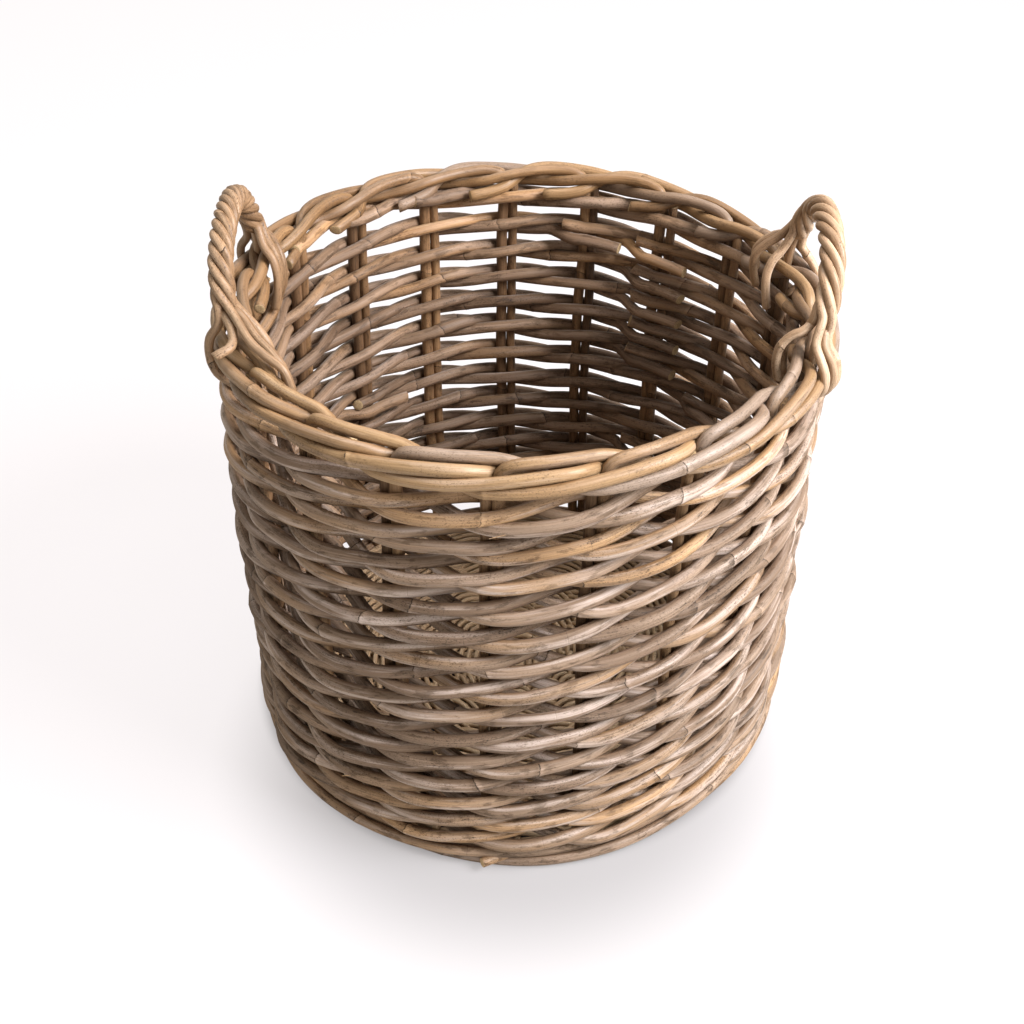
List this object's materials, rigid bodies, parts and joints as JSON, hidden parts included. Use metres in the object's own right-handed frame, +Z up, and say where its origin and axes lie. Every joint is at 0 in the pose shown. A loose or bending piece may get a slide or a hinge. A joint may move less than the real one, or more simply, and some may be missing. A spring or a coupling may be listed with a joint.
{
  "type": "woven laundry basket",
  "caption": "Round open-topped woven rattan laundry basket with a three-rod waled wall, rolled rod rim, woven base and two upright roped handles.",
  "frame": {"origin": "on the floor plane, at the middle of the basket's round plan", "axes": "+Z up along the basket's axis, +X through the right handle, +Y to the back, midway between the handles"},
  "size_m": [0.477, 0.477, 0.4788],
  "materials": {
    "stake_rattan": "dark brown unpeeled rattan uprights, satin",
    "waling_rattan": "grey-brown steeped rattan rods with nodes and fine streaks, satin",
    "rim_rattan": "golden tan rattan rods, satin",
    "foot_rattan": "brown rattan rods, satin",
    "base_rattan": "pale cream rattan core, matt",
    "handle_rattan": "golden tan rattan strands, satin"
  },
  "bodies": {
    "root": {"stake_01": "stake_rattan", "stake_02": "stake_rattan", "stake_03": "stake_rattan", "stake_04": "stake_rattan", "stake_05": "stake_rattan", "stake_06": "stake_rattan", "stake_07": "stake_rattan", "stake_08": "stake_rattan", "stake_09": "stake_rattan", "stake_10": "stake_rattan", "stake_11": "stake_rattan", "stake_12": "stake_rattan", "stake_13": "stake_rattan", "stake_14": "stake_rattan", "stake_15": "stake_rattan", "stake_16": "stake_rattan", "stake_17": "stake_rattan", "stake_18": "stake_rattan", "stake_19": "stake_rattan", "bye_stake_01": "stake_rattan", "bye_stake_02": "stake_rattan", "bye_stake_03": "stake_rattan", "bye_stake_04": "stake_rattan", "bye_stake_05": "stake_rattan", "bye_stake_06": "stake_rattan", "bye_stake_07": "stake_rattan", "bye_stake_08": "stake_rattan", "bye_stake_09": "stake_rattan", "bye_stake_10": "stake_rattan", "bye_stake_11": "stake_rattan", "bye_stake_12": "stake_rattan", "bye_stake_13": "stake_rattan", "bye_stake_14": "stake_rattan", "bye_stake_15": "stake_rattan", "bye_stake_16": "stake_rattan", "bye_stake_17": "stake_rattan", "bye_stake_18": "stake_rattan", "bye_stake_19": "stake_rattan", "waling_rod_01": "waling_rattan", "waling_rod_02": "waling_rattan", "waling_rod_03": "waling_rattan", "waling_rod_04": "waling_rattan", "waling_rod_05": "waling_rattan", "waling_rod_06": "waling_rattan", "waling_rod_07": "waling_rattan", "waling_rod_08": "waling_rattan", "waling_rod_09": "waling_rattan", "right_handle_strand_1": "handle_rattan", "right_handle_strand_2": "handle_rattan", "right_handle_strand_3": "handle_rattan", "left_handle_strand_1": "handle_rattan", "left_handle_strand_2": "handle_rattan", "left_handle_strand_3": "handle_rattan", "right_handle_hoop": "handle_rattan", "left_handle_hoop": "handle_rattan", "rim_border": "rim_rattan", "foot_border": "foot_rattan", "base_cross": "base_rattan", "base_weave_lower": "base_rattan", "base_weave_upper": "base_rattan"}
  },
  "joints": []
}
